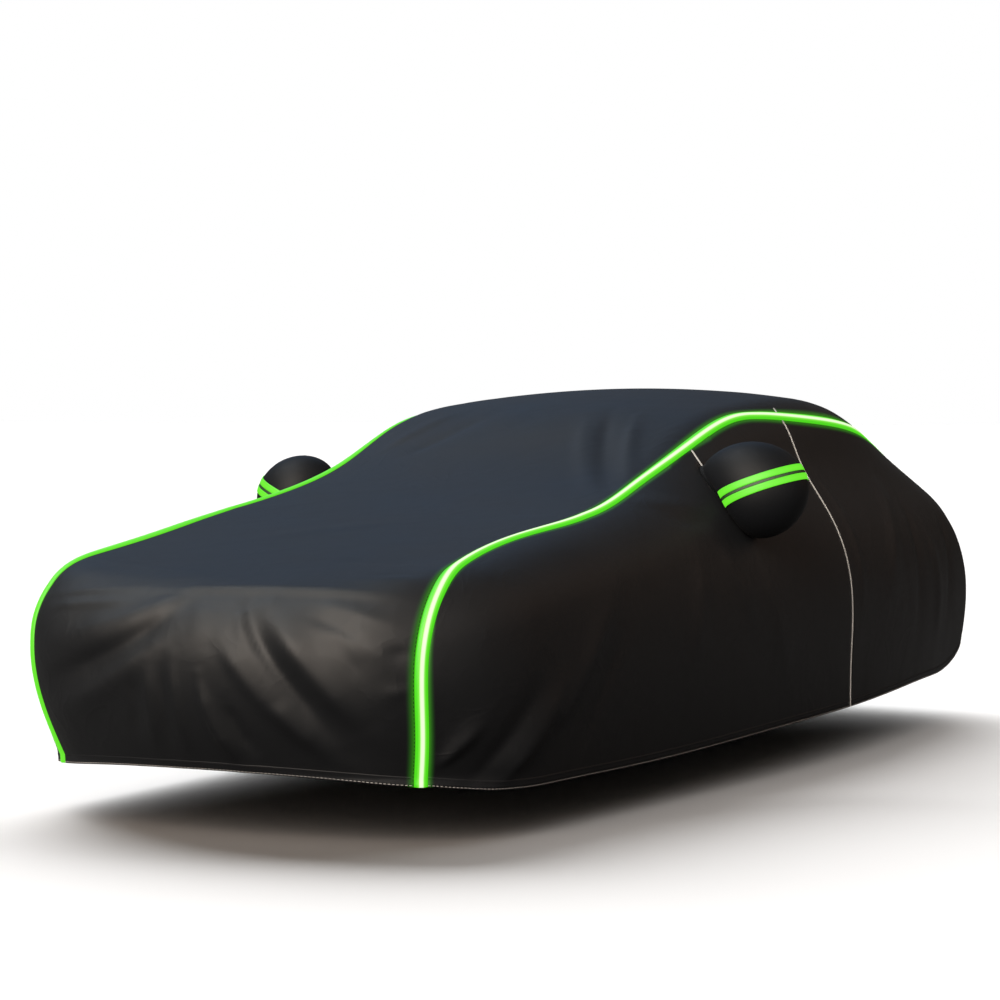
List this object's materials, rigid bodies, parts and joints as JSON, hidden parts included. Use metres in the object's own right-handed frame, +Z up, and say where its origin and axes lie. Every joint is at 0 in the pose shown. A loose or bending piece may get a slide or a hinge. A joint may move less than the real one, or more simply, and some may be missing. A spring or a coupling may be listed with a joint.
{
  "type": "fitted car cover",
  "caption": "Fitted outdoor cover for a saloon car, draped in the car's shape, with piped long seams, mirror pockets and a door zip.",
  "frame": {"origin": "under the roof cloth at its highest point, where the covered car carries the cover", "axes": "+X to the car's left, +Y to its rear, +Z up; the nose points along -Y"},
  "size_m": [2.16, 4.8359, 1.1896],
  "materials": {
    "cloth": "close-woven coated polyester with a satin sheen",
    "lime_tape": "bright woven tape",
    "reflective_tape": "pale reflective tape",
    "dark_green_tape": "dark woven tape",
    "zip_tape": "pale grey coil zip"
  },
  "bodies": {
    "root": {"centre_panel": "cloth", "left_front_panel": "cloth", "left_rear_panel": "cloth", "right_front_panel": "cloth", "right_rear_panel": "cloth", "left_mirror_pocket": "cloth", "right_mirror_pocket": "cloth", "left_piping": "lime_tape", "right_piping": "lime_tape", "left_reflective_stripe": "reflective_tape", "door_zip": "zip_tape", "left_pocket_upper_band": "lime_tape", "left_pocket_middle_band": "dark_green_tape", "left_pocket_lower_band": "lime_tape", "right_pocket_upper_band": "lime_tape", "right_pocket_middle_band": "dark_green_tape", "right_pocket_lower_band": "lime_tape"}
  },
  "joints": []
}
